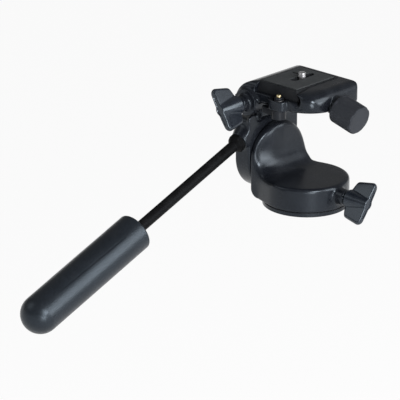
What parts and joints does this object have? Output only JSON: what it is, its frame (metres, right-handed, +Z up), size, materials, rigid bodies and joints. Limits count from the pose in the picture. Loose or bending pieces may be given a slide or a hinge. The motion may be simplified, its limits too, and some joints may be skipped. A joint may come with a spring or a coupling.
{
  "type": "three way pan tilt head",
  "caption": "Three-axis camera tripod head: turntable with upright wall, tilting housing with a long handle, side-tilting platform with a quick-release plate, and lock knobs.",
  "frame": {"origin": "middle of the base's underside, on the pan axis, at the mouth of the tripod thread", "axes": "+Z up along the pan axis; +Y the way the camera looks, with the handle towards -Y; +X to the right, along the tilt axis"},
  "size_m": [0.1374, 0.3337, 0.1706],
  "materials": {
    "body_moulding": "semi-gloss charcoal moulding",
    "plate_moulding": "satin black",
    "knob_gloss": "semi-gloss charcoal moulding",
    "knob_matte": "matte charcoal moulding",
    "lever_plastic": "semi-gloss",
    "grip_rubber": "fine-grained charcoal rubber",
    "pad_rubber": "matte rubber",
    "rod_black": "black, fine texture",
    "core_plastic": "black",
    "acetal": "black acetal",
    "aluminium": "turned",
    "steel": "zinc-plated",
    "brass": "turned"
  },
  "bodies": {
    "base": {"base_plate": "body_moulding", "base_screws": "steel", "pan_spindle": "steel", "pan_friction_ring": "acetal"},
    "saddle": {"pan_saddle": "body_moulding", "spindle_grub_screws": "steel", "pan_brake_pad": "acetal", "tilt_drum": "aluminium", "drum_washer": "steel", "drum_screws": "steel", "tilt_friction_ring": "acetal"},
    "pan_lock": {"pan_knob": "knob_gloss", "pan_stud": "steel"},
    "tilt_head": {"tilt_housing": "body_moulding", "tilt_cover": "body_moulding", "tilt_brake_shoe": "acetal", "roll_friction_discs": "acetal"},
    "handle": {"handle_rod": "rod_black", "handle_collar": "rod_black", "grip_core": "core_plastic", "handle_grip": "grip_rubber"},
    "platform_body": {"platform": "body_moulding", "roll_axle": "steel", "roll_axle_nut": "steel", "clamp_jaw": "aluminium", "clamp_plunger": "brass", "qr_plate": "plate_moulding", "plate_pads": "pad_rubber", "lever_spring": "steel"},
    "roll_lock": {"roll_knob": "knob_gloss", "roll_knob_insert": "brass"},
    "side_lock": {"side_knob": "knob_matte", "side_knob_stud": "steel"},
    "lever": {"qr_lever": "lever_plastic", "lever_shaft": "steel", "lever_plug": "steel", "pin_spring": "steel"},
    "pin": {"safety_pin": "brass"},
    "screw_carriage": {"screw_washer": "steel"},
    "screw": {"camera_screw": "steel", "screw_d_ring": "steel"}
  },
  "joints": [
    {"name": "pan_turn", "type": "hinge", "parent": "base", "child": "saddle", "pos_m": [0, 0, 0], "axis": [0, 0, 1], "continuous": true},
    {"name": "tilt_turn", "type": "hinge", "parent": "saddle", "child": "tilt_head", "pos_m": [0, 0, 0.0364], "axis": [-1, 0, 0], "range_deg": [-30, 90]},
    {"name": "side_tilt_turn", "type": "hinge", "parent": "tilt_head", "child": "platform_body", "pos_m": [-0.041, 0, 0.0923], "axis": [0, -1, 0], "range_deg": [-30, 90]},
    {"name": "handle_twist", "type": "hinge", "parent": "tilt_head", "child": "handle", "pos_m": [-0.0474, -0.032, 0.0562], "axis": [0, -0.9367, -0.3502], "range_deg": [0, 180]},
    {"name": "pan_lock_turn", "type": "hinge", "parent": "saddle", "child": "pan_lock", "pos_m": [0.0487, 0, 0.0164], "axis": [1, 0, 0], "range_deg": [0, 180]},
    {"name": "side_tilt_lock_turn", "type": "hinge", "parent": "platform_body", "child": "roll_lock", "pos_m": [-0.041, -0.0435, 0.0923], "axis": [0, -1, 0], "range_deg": [0, 180]},
    {"name": "plate_clamp_turn", "type": "hinge", "parent": "platform_body", "child": "side_lock", "pos_m": [0.0369, 0, 0.0967], "axis": [0.9659, 0, -0.2588], "range_deg": [0, 270]},
    {"name": "lever_swing", "type": "hinge", "parent": "platform_body", "child": "lever", "pos_m": [-0.0042, -0.032, 0.0936], "axis": [0, 0, 1], "range_deg": [0, 75], "stiffness_Nm_per_rad": 0.03, "springref_deg": -22.92},
    {"name": "pin_press", "type": "slide", "parent": "lever", "child": "pin", "axis": [0, 0, -1], "range_m": [0, 0.0018], "stiffness_N_per_m": 300, "springref_m": -0.003, "deforming": ["pin_spring"]},
    {"name": "screw_slide", "type": "slide", "parent": "platform_body", "child": "screw_carriage", "axis": [0, 1, 0], "range_m": [-0.01, 0.01]},
    {"name": "screw_turn", "type": "hinge", "parent": "screw_carriage", "child": "screw", "pos_m": [-0.0097, 0.004, 0.107], "axis": [0, 0, 1], "continuous": true}
  ]
}
